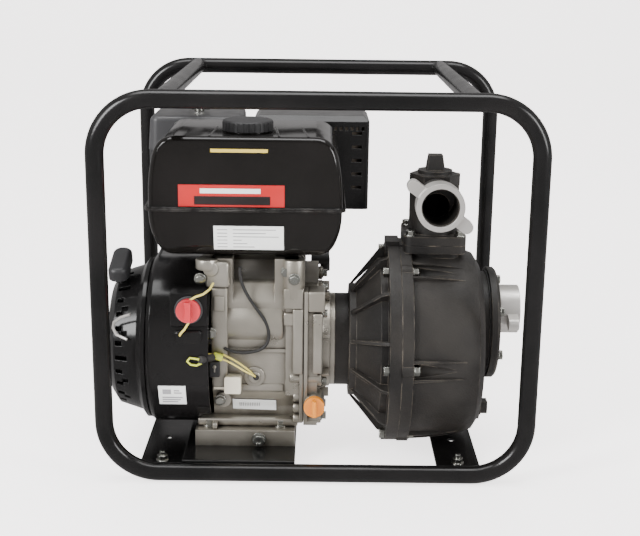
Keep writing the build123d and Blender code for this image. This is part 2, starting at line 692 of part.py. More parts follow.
with BuildPart() as heat_shield:
    block(-105, 82, 110, 232, 318, 470)
    chamfer(heat_shield.faces().sort_by(Axis.Z)[-1].edges(), 9)
    fillet(heat_shield.edges().filter_by(Axis.Z), 6)
    block(-103, 80, 112, 234, 317, 460, mode=Mode.SUBTRACT)
    with BuildSketch(Plane((-11.5, 173, 460))):
        Rectangle(183, 122)
    extrude(amount=7, taper=45, mode=Mode.SUBTRACT)
    block(-94, 71, 200, 234, 440, 467, mode=Mode.SUBTRACT)
    for k in range(20):
        x = -98 + k * 8.8
        if x < 72:
            block(x, x + 4.6, 100, 120, 447, 453, mode=Mode.SUBTRACT)
    for z in (352, 374, 396, 418, 440):
        block(54, 70, 100, 120, z, z + 5, mode=Mode.SUBTRACT)
    for z in (352, 374, 396, 418):
        block(76, 90, 130, 200, z, z + 6, mode=Mode.SUBTRACT)
    rod_x(76, 90, 14, y=190, z=400, mode=Mode.SUBTRACT)
keep(heat_shield, "heat_shield")

# ---- Pump ----------------------------------------------------------------
with BuildPart() as pump_bracket:
    spin((PTO_X + 0.2, 60), (PTO_X + 0.2, 69), (48, 69), (48, 84), (58, 84), (92, 122), (102.5, 122),
         (102.5, FLANGE_R),
         (PUMP_SEAM_X, FLANGE_R), (PUMP_SEAM_X, 24), (102, 24), (102, 52), (92, 84), (60, 60))
    for k in range(12):
        degrees = 15 + 30 * k
        with BuildSketch(Plane(origin=(0, CRANK_Y, CRANK_Z), x_dir=(1, 0, 0),
                               z_dir=(0, -math.sin(math.radians(degrees)),
                                      -math.cos(math.radians(degrees))))):
            with BuildLine():
                Polyline((50, 80), (50, 84.5), (92, 136), (104, 142), (104, 118), (90, 118), close=True)
            make_face()
        extrude(amount=2.5, both=True)
    block(100, PUMP_SEAM_X, CRANK_Y - 20, CRANK_Y + 20, CRANK_Z + 140, CRANK_Z + 156)
    block(100, PUMP_SEAM_X, CRANK_Y - 20, CRANK_Y + 20, CRANK_Z - 155, CRANK_Z - 140)
    for degrees in range(0, 360, 60):
        y, z = polar(PUMP_BOLT_R, degrees)[1:]
        rod_x(90, 130, 4.2, y=y, z=z, mode=Mode.SUBTRACT)
        rod_x(88, 102.5, 11, y=y, z=z, mode=Mode.SUBTRACT)
keep(pump_bracket, "pump_bracket")

with BuildPart() as pump_casing:
    x0 = PUMP_SEAM_X + 0.2
    spin((x0, POCKET_FLOOR_R), (x0, FLANGE_R), (136, FLANGE_R), (136, CASING_R), (212, 140), (230, 133),
         (239, 119),
         (241, 104), (241, 0), (234, 0), (234, 100), (226, 124), (208, 133), (150, POCKET_FLOOR_R))
    bolt_spots = [polar(PUMP_BOLT_R, degrees)[1:] for degrees in range(0, 360, 60)]
    for y, z in bolt_spots:
        rod_x(x0, 136, 11, y=y, z=z)
    block(x0, 136, CRANK_Y - 20, CRANK_Y + 20, CRANK_Z - 155, CRANK_Z - 135)
    block(x0, 150, CRANK_Y - 22, CRANK_Y + 22, CRANK_Z + 135, CRANK_Z + 152)
    with BuildSketch(Plane((DISCHARGE_X, CRANK_Y, 288))):
        RectangleRounded(72, 76, 14)
    extrude(amount=16)
    with BuildSketch(Plane((DISCHARGE_X, CRANK_Y, 304))):
        RectangleRounded(90, 92, 12)
    extrude(amount=11.8)
    rod_x(236, 250, 76, z=BOSS_Z)
    rod_x(226, 247, 20, y=-100, z=60)
    rod_x(200, 234, 100, mode=Mode.SUBTRACT)
    rod_z(280, 320, PORT_R, DISCHARGE_X, CRANK_Y, mode=Mode.SUBTRACT)
    rod_x(230, 255, PORT_R, z=SUCTION_Z, mode=Mode.SUBTRACT)
    rod_x(225, 250, 10.2, y=-100, z=60, mode=Mode.SUBTRACT)
    for y, z in bolt_spots:
        rod_x(110, 136.5, 4.2, y=y, z=z, mode=Mode.SUBTRACT)
        rod_x(136, 148, POCKET_R, y=y, z=z, mode=Mode.SUBTRACT)
        cone_x(146, 206, POCKET_R - 0.2, 0.5, y, z, mode=Mode.SUBTRACT)
    for degrees in range(0, 360, 60):
        y, z = polar(66, degrees + 30, z=BOSS_Z)[1:]
        rod_x(242, 255, 4.2, y=y, z=z, mode=Mode.SUBTRACT)
    for dx in (-36, 36):
        for dy in (-36, 36):
            rod_z(306, 320, 4.2, DISCHARGE_X + dx, CRANK_Y + dy, mode=Mode.SUBTRACT)
keep(pump_casing, "pump_casing")

with BuildPart() as casing_bolts:
    for degrees in range(0, 360, 60):
        bolt(facing_x(polar(PUMP_BOLT_R, degrees, x=136.2)), 13, 7, 4, 42, washer_r=8.7)
        with BuildSketch(facing_x(polar(PUMP_BOLT_R, degrees, x=102.3), -1)):
            RegularPolygon(6.5, 6, major_radius=False)
        extrude(amount=8)
keep(casing_bolts, "casing_bolts")

with BuildPart() as mechanical_seal:
    rod_x(104, 119, 23.8)
    rod_x(103, 120, 13.1, mode=Mode.SUBTRACT)
keep(mechanical_seal, "mechanical_seal")

with BuildPart() as impeller:
    spin((123, 12.55), (123, 70), (127, 70), (130, 30), (150, 20), (150, 12.55))
    for k in range(6):
        with Locations(Location(polar(46, k * 60, x=136), (-k * 60 - 28, 0, 0))):
            Box(18, 44, 4)
    rod_x(120, 160, 12.55, mode=Mode.SUBTRACT)
keep(impeller, "impeller")

with BuildPart() as volute:
    spin((120.2, 76), (120.2, 100), (166, 88), (182, 44), (182, 27), (170, 27), (158, 34), (151, 74),
              (147, 76))
    rod_z(230, 280, 26, 148, CRANK_Y)
    rod_z(225, 281, 20, 148, CRANK_Y, mode=Mode.SUBTRACT)
    rod_x(120, 149, 75.9, mode=Mode.SUBTRACT)
keep(volute, "volute")

with BuildPart() as suction_gasket:
    rod_x(250.1, 252.4, 78, z=BOSS_Z)
    rod_x(250, 253, PORT_R + 1, z=SUCTION_Z, mode=Mode.SUBTRACT)
    for degrees in range(0, 360, 60):
        y, z = polar(66, degrees + 30, z=BOSS_Z)[1:]
        rod_x(250, 253, 4.4, y=y, z=z, mode=Mode.SUBTRACT)
keep(suction_gasket, "suction_gasket")

with BuildPart() as suction_flange:
    rod_x(252.5, 265, 83, z=BOSS_Z)
    chamfer(suction_flange.faces().sort_by(Axis.X)[-1].edges(), 3)
    rod_x(265, 269, 46, z=SUCTION_Z)
    rod_x(252, 270, PORT_R, z=SUCTION_Z, mode=Mode.SUBTRACT)
    for degrees in range(0, 360, 60):
        y, z = polar(66, degrees + 30, z=BOSS_Z)[1:]
        rod_x(252, 270, 4.4, y=y, z=z, mode=Mode.SUBTRACT)
        rod_x(265, 270, 10, y=y, z=z, mode=Mode.SUBTRACT)
keep(suction_flange, "suction_flange")

with BuildPart() as suction_tail:
    rod_x(269.1, 294.6, TAIL_R, z=SUCTION_Z)
    rod_x(269, 298, PORT_R, z=SUCTION_Z, mode=Mode.SUBTRACT)
keep(suction_tail, "suction_tail")

with BuildPart() as suction_nut:
    lug_nut(Plane(origin=(271, CRANK_Y, SUCTION_Z), x_dir=(0, 1, 0), z_dir=(1, 0, 0)), 36, 29, 12, 10)
keep(suction_nut, "suction_nut")

with BuildPart() as m8_bolts:
    for degrees in range(0, 360, 60):
        bolt(facing_x(polar(66, degrees + 30, x=265.1, z=BOSS_Z)), 12, 6, 4, 22, washer_r=8.5)
    for dx in (-36, 36):
        for dy in (-36, 36):
            bolt(Plane((DISCHARGE_X + dx, CRANK_Y + dy, 329.1)), 12, 6, 4, 22, washer_r=8.5)
    for x in (-142, -43):
        bolt(facing_front((x, -166.2, 285)), 12, 6, 4, 0, washer_r=8.5)
keep(m8_bolts, "m8_bolts")

with BuildPart() as check_flap:
    rod_x(228, 232.6, 29, z=SUCTION_Z)
    block(228, 232.6, CRANK_Y - 12, CRANK_Y + 12, SUCTION_Z, SUCTION_Z + 40)
    rod_y(CRANK_Y - 16, CRANK_Y + 16, 3.2, 229, SUCTION_Z + 42)
keep(check_flap, "check_flap")

with BuildPart() as pump_drain_plug:
    rod_x(226, 248, 10, y=-100, z=60)
    rod_x(247.2, 250, 14, y=-100, z=60)
    block(250, 260, -109, -91, 51, 69)
keep(pump_drain_plug, "pump_drain_plug")

with BuildPart() as discharge_head:
    with BuildSketch(Plane((DISCHARGE_X, CRANK_Y, 316))):
        RectangleRounded(90, 92, 12)
    extrude(amount=13)
    rod_z(328, 396.5, 36, DISCHARGE_X, CRANK_Y)
    rod_y(-179.6, -95, TAIL_R, DISCHARGE_X, DISCHARGE_Z)
    block(100, 240, -124, -40, 396.5, 430, mode=Mode.SUBTRACT)
    rod_z(310, 400, PORT_R, DISCHARGE_X, CRANK_Y, mode=Mode.SUBTRACT)
    rod_y(-181, PORT_END_Y, PORT_R, DISCHARGE_X, DISCHARGE_Z, mode=Mode.SUBTRACT)
    rod_y(PORT_END_Y - 1, CRANK_Y, 19, DISCHARGE_X, DISCHARGE_Z - 10, mode=Mode.SUBTRACT)
    for dx in (-36, 36):
        for dy in (-36, 36):
            rod_z(310, 330, 4.4, DISCHARGE_X + dx, CRANK_Y + dy, mode=Mode.SUBTRACT)
            rod_z(329, 345, 10, DISCHARGE_X + dx, CRANK_Y + dy, mode=Mode.SUBTRACT)
keep(discharge_head, "discharge_head")

with BuildPart() as priming_plug:
    with BuildSketch(Plane((DISCHARGE_X, CRANK_Y, 396.7))):
        RegularPolygon(32, 6, major_radius=False)
    extrude(amount=18)
    rod_z(414, 420, 25, DISCHARGE_X, CRANK_Y)
    with BuildSketch(Plane((DISCHARGE_X, CRANK_Y, 420))):
        RectangleRounded(27, 27, 3)
    extrude(amount=22, taper=9)
keep(priming_plug, "priming_plug")

with BuildPart() as discharge_nut:
    lug_nut(Plane(origin=(DISCHARGE_X, -158, DISCHARGE_Z), x_dir=(1, 0, 0), z_dir=(0, -1, 0)), 34, 27, -37, 6)
keep(discharge_nut, "discharge_nut")
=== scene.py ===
# %% [markdown]
# # An engine-driven water pump in its tube frame
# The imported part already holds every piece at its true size. This lesson
# keeps those pieces as they are and gives them what makes them look made:
# painted, cast, plated and moulded surfaces, welds, plates and small trim.

# %% Load the part
import math
import random
import bmesh
import bpy
from mathutils import Matrix, Vector


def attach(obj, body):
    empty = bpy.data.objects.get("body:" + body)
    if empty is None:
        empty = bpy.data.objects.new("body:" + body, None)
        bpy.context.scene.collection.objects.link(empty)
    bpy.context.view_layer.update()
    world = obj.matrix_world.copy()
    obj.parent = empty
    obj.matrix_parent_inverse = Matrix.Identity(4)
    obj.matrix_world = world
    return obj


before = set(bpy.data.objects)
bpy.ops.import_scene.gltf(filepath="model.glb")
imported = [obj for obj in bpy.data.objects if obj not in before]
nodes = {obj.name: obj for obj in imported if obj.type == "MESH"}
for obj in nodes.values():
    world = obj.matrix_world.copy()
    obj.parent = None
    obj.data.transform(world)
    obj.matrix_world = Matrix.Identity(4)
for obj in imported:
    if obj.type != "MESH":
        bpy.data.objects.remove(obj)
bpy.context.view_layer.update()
random.seed(7)

# %% [markdown]
# ## Smooth where round, crisp where cut
# A turned or cast surface shades smoothly, but a sawn or pressed edge stays
# sharp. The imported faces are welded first, so that the angle between any two
# neighbours is known, and then split wherever that angle is large.

# %% Shade every piece by angle
EDGE_ANGLE = math.radians(32)
WELD_DISTANCE = 0.00001


def shade_by_angle(mesh):
    """Smooth shading that breaks at edges sharper than the limit."""
    mesh.shade_smooth()
    mesh.set_sharp_from_angle(angle=EDGE_ANGLE)


for node in nodes.values():
    weld = node.modifiers.new("weld", "WELD")
    weld.merge_threshold = WELD_DISTANCE
    node.data.shade_smooth()
    split = node.modifiers.new("split", "EDGE_SPLIT")
    split.split_angle = EDGE_ANGLE
    split.use_edge_sharp = False
print("shaded by angle:", len(nodes))

# %% [markdown]
# ## One recipe for a used finish
# Every real finish varies a little: paint holds dust, castings have a grain, and handling polishes the
# corners. The recipe mixes two close colours with a broad noise, lays a paler colour on the corners, which is
# wear and, on the gloss paint, also a painted highlight, varies the roughness, and adds a fine bump. The
# corner mask compares the rounded normal of a Bevel node with the plain one: they differ only near an edge.
# Ambient occlusion paints shade into the nooks: a dark colour, broken by noise, is mixed in where little
# light reaches.

# %% The finish recipe
CORNER_RADIUS = 0.0016
NOOK_REACH = 0.018
DUST_COLOUR = (0.42, 0.40, 0.37)
# Dark colour painted into nooks and recesses as shade.
NOOK_SHADE_COLOUR = (0.07, 0.058, 0.045)


def link(tree, a, b):
    tree.links.new(a, b)


def node_of(tree, kind, **values):
    made = tree.nodes.new(kind)
    for name, value in values.items():
        setattr(made, name, value)
    return made


def mix_colour(tree, factor, a, b):
    """Blend two colours; each may be a colour or a socket."""
    mixer = node_of(tree, "ShaderNodeMix", data_type="RGBA")
    for socket, value in ((mixer.inputs[0], factor), (mixer.inputs[6], a), (mixer.inputs[7], b)):
        if isinstance(value, (tuple, float)):
            socket.default_value = value if isinstance(value, float) else (*value, 1.0)
        else:
            link(tree, value, socket)
    return mixer.outputs[2]


def ramp(tree, source, low, high, to_low=0.0, to_high=1.0):
    """Map one range of a value onto another."""
    mapper = node_of(tree, "ShaderNodeMapRange", clamp=True)
    mapper.inputs["From Min"].default_value = low
    mapper.inputs["From Max"].default_value = high
    mapper.inputs["To Min"].default_value = to_low
    mapper.inputs["To Max"].default_value = to_high
    link(tree, source, mapper.inputs["Value"])
    return mapper.outputs["Result"]


def noise(tree, where, scale, detail=4.0, rough=0.55):
    made = node_of(tree, "ShaderNodeTexNoise")
    made.inputs["Scale"].default_value = scale
    made.inputs["Detail"].default_value = detail
    made.inputs["Roughness"].default_value = rough
    link(tree, where, made.inputs["Vector"])
    return made.outputs["Fac"]


def finish(name, base, second, wear_and_sheen, metal=0.0, rough=(0.3, 0.45), grain=60.0, bump=0.1,
           bump_depth=0.0004, edge=0.5, dust=0.0, nook_shade=0.0, shine=0.5, brushed=None):
    """A procedural finish with colour variation, corner wear (on the gloss paint also a painted highlight),
    painted shade in nooks, roughness and bump.
    """
    made = bpy.data.materials.new(name)
    made.use_nodes = True
    tree = made.node_tree
    shader = tree.nodes["Principled BSDF"]
    where = node_of(tree, "ShaderNodeTexCoord").outputs["Object"]
    if brushed:
        stretch = node_of(tree, "ShaderNodeMapping")
        stretch.inputs["Scale"].default_value = brushed
        link(tree, where, stretch.inputs["Vector"])
        fine = noise(tree, stretch.outputs["Vector"], grain)
    else:
        fine = noise(tree, where, grain)
    broad = noise(tree, where, 9.0, 3.0)
    colour = mix_colour(tree, ramp(tree, broad, 0.35, 0.65), base, second)
    geometry = node_of(tree, "ShaderNodeNewGeometry")
    rounded = node_of(tree, "ShaderNodeBevel", samples=4)
    rounded.inputs["Radius"].default_value = CORNER_RADIUS
    compare = node_of(tree, "ShaderNodeVectorMath", operation="DOT_PRODUCT")
    link(tree, rounded.outputs["Normal"], compare.inputs[0])
    link(tree, geometry.outputs["Normal"], compare.inputs[1])
    corner = ramp(tree, compare.outputs["Value"], 0.985, 0.86)
    patchy = node_of(tree, "ShaderNodeMath", operation="MULTIPLY")
    link(tree, corner, patchy.inputs[0])
    link(tree, ramp(tree, noise(tree, where, 45.0), 0.42, 0.62, 0.0, edge), patchy.inputs[1])
    # Paler colour on the corners: worn edges, and on the gloss paint also a painted highlight.
    colour = mix_colour(tree, patchy.outputs[0], colour, wear_and_sheen)
    if dust:
        up = node_of(tree, "ShaderNodeSeparateXYZ")
        link(tree, geometry.outputs["Normal"], up.inputs[0])
        settled = node_of(tree, "ShaderNodeMath", operation="MULTIPLY")
        link(tree, ramp(tree, up.outputs["Z"], 0.35, 1.0, 0.0, dust), settled.inputs[0])
        link(tree, ramp(tree, noise(tree, where, 30.0, 6.0), 0.3, 0.7), settled.inputs[1])
        colour = mix_colour(tree, settled.outputs[0], colour, DUST_COLOUR)
    # Painted shade: ambient occlusion mixes a dark colour, broken by noise, into nooks and recesses.
    if nook_shade:
        nook = node_of(tree, "ShaderNodeAmbientOcclusion", samples=6)
        nook.inputs["Distance"].default_value = NOOK_REACH
        nook_shade_mask = node_of(tree, "ShaderNodeMath", operation="MULTIPLY")
        link(tree, ramp(tree, nook.outputs["AO"], 0.95, 0.35, 0.0, nook_shade), nook_shade_mask.inputs[0])
        link(tree, ramp(tree, noise(tree, where, 38.0, 6.0), 0.25, 0.6, 0.35, 1.0), nook_shade_mask.inputs[1])
        colour = mix_colour(tree, nook_shade_mask.outputs[0], colour, NOOK_SHADE_COLOUR)
    link(tree, colour, shader.inputs["Base Color"])
    link(tree, ramp(tree, noise(tree, where, 22.0, 5.0), 0.3, 0.7, *rough), shader.inputs["Roughness"])
    relief = node_of(tree, "ShaderNodeBump")
    relief.inputs["Strength"].default_value = bump
    relief.inputs["Distance"].default_value = bump_depth
    link(tree, fine, relief.inputs["Height"])
    link(tree, rounded.outputs["Normal"], relief.inputs["Normal"])
    link(tree, relief.outputs["Normal"], shader.inputs["Normal"])
    shader.inputs["Metallic"].default_value = metal
    shader.inputs["Specular IOR Level"].default_value = shine
    return made


print("finish recipe ready")

# %% [markdown]
# ## The finishes of this machine
# The frame wears satin black paint, the tank and fan housing a deep gloss
# coat, the pump a sand-cast skin under thin paint, and the crankcase bare
# die-cast aluminium. Fasteners are zinc plated.

# %% Mix the finishes
paint_frame = finish("frame_paint", (0.004, 0.004, 0.004), (0.008, 0.0075, 0.0075), (0.10, 0.095, 0.09),
                     rough=(0.16, 0.26), grain=220.0, bump=0.04, edge=0.3, shine=0.35)
# The gloss paint's pale corner colour is worn paint and also a painted highlight along the seam lip and tank
# edges.
paint_gloss = finish("gloss_black_paint", (0.005, 0.0045, 0.004), (0.008, 0.007, 0.0065), (0.20, 0.19, 0.18),
                     rough=(0.07, 0.12), grain=140.0, bump=0.012, edge=0.55, shine=0.4)
paint_shroud = finish("fan_housing_paint", (0.005, 0.005, 0.005), (0.009, 0.0085, 0.0085), (0.07, 0.07, 0.07),
                      rough=(0.12, 0.20), grain=160.0, bump=0.03, edge=0.25, shine=0.28)
cast_pump = finish("pump_casting_paint", (0.009, 0.0082, 0.0076), (0.022, 0.0195, 0.017), (0.20, 0.17, 0.13),
                   rough=(0.42, 0.58), grain=380.0, bump=0.7, bump_depth=0.0008,
                   edge=0.8, dust=0.04, shine=0.35)
# Both aluminium finishes carry strong painted shade in their nooks.
cast_silver = finish("die_cast_aluminium", (0.38, 0.355, 0.30), (0.56, 0.53, 0.465), (0.86, 0.83, 0.76),
                     metal=0.85, rough=(0.26, 0.42), grain=340.0, bump=0.5, bump_depth=0.0006,
                     edge=0.8, nook_shade=0.9)
cast_cover = finish("side_cover_aluminium", (0.36, 0.335, 0.28), (0.54, 0.51, 0.445), (0.86, 0.83, 0.76),
                    metal=0.85, rough=(0.26, 0.42), grain=300.0, bump=0.5, bump_depth=0.0006,
                    edge=0.8, nook_shade=0.9)
# Zinc carries lighter painted shade in its nooks.
zinc = finish("zinc_plate", (0.40, 0.41, 0.38), (0.56, 0.56, 0.51), (0.80, 0.80, 0.78),
              metal=1.0, rough=(0.18, 0.32), grain=260.0, bump=0.12, edge=0.5, nook_shade=0.5)
coupling_metal = finish("coupling_aluminium", (0.58, 0.56, 0.53), (0.70, 0.685, 0.66), (0.82, 0.81, 0.79),
                        metal=0.75, rough=(0.30, 0.44), grain=320.0, bump=0.30, edge=0.6)
ground_steel = finish("ground_steel", (0.45, 0.45, 0.45), (0.56, 0.56, 0.56), (0.7, 0.7, 0.7),
                      metal=1.0, rough=(0.22, 0.36), grain=120.0, bump=0.15, brushed=(1.0, 14.0, 14.0))
heated_steel = finish("heated_steel", (0.16, 0.13, 0.10), (0.26, 0.23, 0.20), (0.42, 0.36, 0.30),
                      metal=0.9, rough=(0.38, 0.58), grain=160.0, bump=0.3, edge=0.6, dust=0.05)
moulding = finish("black_moulding", (0.014, 0.014, 0.015), (0.022, 0.022, 0.023), (0.11, 0.11, 0.11),
                  rough=(0.38, 0.52), grain=500.0, bump=0.30, edge=0.3)
cleaner_moulding = finish("air_cleaner_moulding", (0.028, 0.028, 0.030), (0.040, 0.040, 0.042),
                          (0.13, 0.13, 0.13), rough=(0.34, 0.46), grain=520.0, bump=0.25, edge=0.3, dust=0.08)
rubber = finish("black_rubber", (0.012, 0.012, 0.012), (0.022, 0.021, 0.020), (0.06, 0.06, 0.06),
                rough=(0.55, 0.75), grain=380.0, bump=0.25, edge=0.2)
red_knob = finish("red_moulding", (0.46, 0.012, 0.022), (0.56, 0.022, 0.035), (0.80, 0.30, 0.30),
                  rough=(0.28, 0.40), grain=300.0, bump=0.12, edge=0.45)
orange_cap = finish("orange_moulding", (0.66, 0.20, 0.004), (0.76, 0.27, 0.008), (0.90, 0.52, 0.16),
                    rough=(0.30, 0.44), grain=300.0, bump=0.12, edge=0.4)
cream_box = finish("cream_moulding", (0.56, 0.51, 0.38), (0.64, 0.60, 0.48), (0.80, 0.77, 0.68),
                   rough=(0.40, 0.52), grain=260.0, bump=0.15, edge=0.3)
yellow_wire = finish("yellow_insulation", (0.62, 0.50, 0.08), (0.72, 0.62, 0.16), (0.8, 0.72, 0.3),
                     rough=(0.35, 0.5), grain=200.0, bump=0.1, edge=0.2)
green_plug = finish("green_yellow_insulation", (0.30, 0.42, 0.04), (0.55, 0.60, 0.06), (0.75, 0.78, 0.3),
                    rough=(0.35, 0.5), grain=120.0, bump=0.1, edge=0.2)
foam = finish("oiled_foam", (0.25, 0.20, 0.12), (0.34, 0.28, 0.17), (0.4, 0.34, 0.22),
              rough=(0.8, 0.95), grain=700.0, bump=0.8, edge=0.1)
print("finishes mixed:", len(bpy.data.materials))

# %% Put the finishes on
wears = {
    paint_frame: "front_loop rear_loop top_bar_left top_bar_right cross_plate_left cross_plate_right "
                 "engine_base heat_shield",
    paint_gloss: "tank_upper tank_lower rocker_cover",
    paint_shroud: "fan_shroud recoil_cover",
    cast_pump: "pump_bracket pump_casing impeller volute suction_flange pump_drain_plug "
               "discharge_head priming_plug",
    cast_silver: "crankcase cylinder_head connecting_rod piston flywheel carburettor",
    cast_cover: "side_cover",
    zinc: "frame_bolts cover_bolts drain_bolt m8_bolts casing_bolts starter_cup throttle_lever "
          "air_cleaner_nut",
    coupling_metal: "suction_tail suction_nut discharge_nut",
    ground_steel: "crankshaft mechanical_seal",
    heated_steel: "muffler",
    moulding: "fuel_cap starter_grip recoil_reel choke_lever fuel_valve_lever air_cleaner_base",
    cleaner_moulding: "air_cleaner_cover",
    rubber: "rubber_pads plug_cap starter_rope black_lead suction_gasket check_flap",
    red_knob: "switch_knob",
    orange_cap: "oil_filler_plug",
    cream_box: "oil_alert_unit",
    yellow_wire: "yellow_leads",
    foam: "filter_element",
}
bare = set(nodes)
for material, names in wears.items():
    for name in names.split():
        nodes[name].data.materials.clear()
        nodes[name].data.materials.append(material)
        bare.discard(name)
print("pieces without a finish:", sorted(bare))

# %% [markdown]
# ## Camera, floor and light
# The camera stands in front, a little above the frame, with a long lens. A
# pale floor that curves up behind leaves no horizon. It glows a little, as a
# lit backdrop does, and is kept out of reflections so that black paint stays
# black. Broad soft lamps give long highlights on the painted tubes.

# %% Camera, floor and lamps
scene = bpy.context.scene
PITCH, YAW, ROLL = -0.2591, -0.0032, 0.0124
CAMERA_PLACE = (-0.0011, -1.7708, 0.7163)
LENS_MM = 65.95
camera_data = bpy.data.cameras.new("camera")
camera_data.sensor_width = 36.0
camera_data.lens = LENS_MM
camera = bpy.data.objects.new("camera", camera_data)
scene.collection.objects.link(camera)
turned = Matrix.Rotation(YAW, 3, "Z") @ Matrix.Rotation(PITCH, 3, "X")
right, ahead, above = (turned @ Vector(axis) for axis in ((1, 0, 0), (0, 1, 0), (0, 0, 1)))
right, above = (math.cos(ROLL) * right + math.sin(ROLL) * above,
                -math.sin(ROLL) * right + math.cos(ROLL) * above)
facing = Matrix((right, above, -ahead)).transposed().to_4x4()
camera.matrix_world = Matrix.Translation(CAMERA_PLACE) @ facing
scene.camera = camera

FLOOR_HALF_WIDTH = 9.0
floor_mesh = bpy.data.meshes.new("floor")
steps = [(-9.0, 0.0), (1.6, 0.0), (2.1, 0.05), (2.6, 0.25), (3.0, 0.7), (3.2, 1.4), (3.25, 4.0)]
floor_mesh.from_pydata([(x, y, z) for y, z in steps for x in (-FLOOR_HALF_WIDTH, FLOOR_HALF_WIDTH)], [],
                       [(2 * i, 2 * i + 1, 2 * i + 3, 2 * i + 2) for i in range(len(steps) - 1)])
floor_mesh.shade_smooth()
floor = bpy.data.objects.new("floor", floor_mesh)
scene.collection.objects.link(floor)
floor_paper = bpy.data.materials.new("floor_paper")
floor_paper.use_nodes = True
paper = floor_paper.node_tree.nodes["Principled BSDF"]
paper.inputs["Base Color"].default_value = (0.96, 0.935, 0.93, 1.0)
paper.inputs["Roughness"].default_value = 0.7
paper.inputs["Emission Color"].default_value = (1.0, 0.97, 0.965, 1.0)
paper.inputs["Emission Strength"].default_value = 2.2
floor_mesh.materials.append(floor_paper)
floor.visible_glossy = False

world = bpy.data.worlds.new("studio")
scene.world = world
world.use_nodes = True
world.node_tree.nodes["Background"].inputs["Color"].default_value = (1.0, 0.975, 0.97, 1.0)
world.node_tree.nodes["Background"].inputs["Strength"].default_value = 0.45


def lamp(name, place, target, size, power):
    """A broad soft lamp aimed at a point."""
    data = bpy.data.lights.new(name, "AREA")
    data.shape, data.size, data.size_y, data.energy = "RECTANGLE", size[0], size[1], power
    made = bpy.data.objects.new(name, data)
    scene.collection.objects.link(made)
    made.location = place
    made.rotation_euler = (Vector(target) - Vector(place)).to_track_quat("-Z", "Y").to_euler()
    return made


lamp("overhead", (0.0, -0.2, 2.4), (0, 0, 0.2), (2.2, 0.9), 46)
lamp("key_left", (-1.9, -1.6, 1.5), (0, 0, 0.25), (0.7, 1.5), 80)
lamp("fill_right", (2.0, -1.3, 1.1), (0, 0, 0.25), (0.6, 1.4), 36)
print("camera at", tuple(round(v, 3) for v in camera.matrix_world.translation))

# %% [markdown]
# ## Small helpers for trim
# Castings have raised pads, ribs and bosses that are too small for the main
# solids. A block with rounded edges and a turned boss cover nearly all of
# them, and a round section swept along a line makes weld beads and leads.
# All of them are fixed to the frame.

# %% Helpers for raised castings
MM = 0.001


def piece(name, mesh, material):
    """Hang a finished mesh on the frame of the part."""
    made = bpy.data.objects.new(name, mesh)
    scene.collection.objects.link(made)
    mesh.materials.append(material)
    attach(made, "frame")
    return made


def cast_block(name, x, y, z, material, round_mm=2.0):
    """A block between pairs of coordinates in millimetres, with soft edges."""
    grown = bmesh.new()
    bmesh.ops.create_cube(grown, size=1.0)
    size = Vector((x[1] - x[0], y[1] - y[0], z[1] - z[0])) * MM
    middle = Vector((x[1] + x[0], y[1] + y[0], z[1] + z[0])) * MM / 2
    bmesh.ops.scale(grown, vec=size, verts=grown.verts)
    bmesh.ops.translate(grown, vec=middle, verts=grown.verts)
    bmesh.ops.bevel(grown, geom=grown.edges[:], offset=round_mm * MM, segments=3, profile=0.5, affect="EDGES")
    mesh = bpy.data.meshes.new(name)
    grown.to_mesh(mesh)
    grown.free()
    shade_by_angle(mesh)
    return piece(name, mesh, material)


def turned_boss(name, start, end, radius, material, soft=1.2, sides=40):
    """A round boss from one point to another, in millimetres, with soft rims."""
    start, end = Vector(start) * MM, Vector(end) * MM
    grown = bmesh.new()
    bmesh.ops.create_cone(grown, cap_ends=True, segments=sides, radius1=radius * MM, radius2=radius * MM,
                          depth=(end - start).length)
    rims = [edge for edge in grown.edges if abs(edge.verts[0].co.z - edge.verts[1].co.z) < 1e-6]
    bmesh.ops.bevel(grown, geom=rims, offset=soft * MM, segments=2, profile=0.5, affect="EDGES")
    turn = (end - start).to_track_quat("Z", "Y").to_matrix().to_4x4()
    grown.transform(Matrix.Translation((start + end) / 2) @ turn)
    mesh = bpy.data.meshes.new(name)
    grown.to_mesh(mesh)
    grown.free()
    shade_by_angle(mesh)
    return piece(name, mesh, material)


def bead(name, points, radius, material, lumpy=0.0):
    """A weld bead or lead: a round section swept through points in metres."""
    curve = bpy.data.curves.new(name, "CURVE")
    curve.dimensions = "3D"
    curve.bevel_depth = radius * MM
    curve.bevel_resolution = 4
    line = curve.splines.new("POLY")
    line.points.add(len(points) - 1)
    for place, point in zip(line.points, points):
        place.co = (*point, 1.0)
        place.radius = 1.0 + lumpy * random.uniform(-1, 1)
    holder = bpy.data.objects.new(name + "_path", curve)
    scene.collection.objects.link(holder)
    bpy.context.view_layer.update()
    mesh = bpy.data.meshes.new_from_object(holder.evaluated_get(bpy.context.evaluated_depsgraph_get()))
    bpy.data.objects.remove(holder)
    mesh.materials.clear()
    mesh.shade_smooth()
    return piece(name, mesh, material)


def lead(name, points, radius, material):
    """A short lead or wire through points in millimetres."""
    return bead(name, [Vector(point) * MM for point in points], radius, material)


print("trim helpers ready")

# %% [markdown]
# ## Crankcase casting
# The front of a die-cast crankcase is never flat. A round barrel wall bulges
# where the crank turns inside, a pillar carries the fan housing, stepped
# pads follow the cover joint, and bosses run across that joint for the
# cover bolts. Each is laid over the plain wall and sunk a little into it.

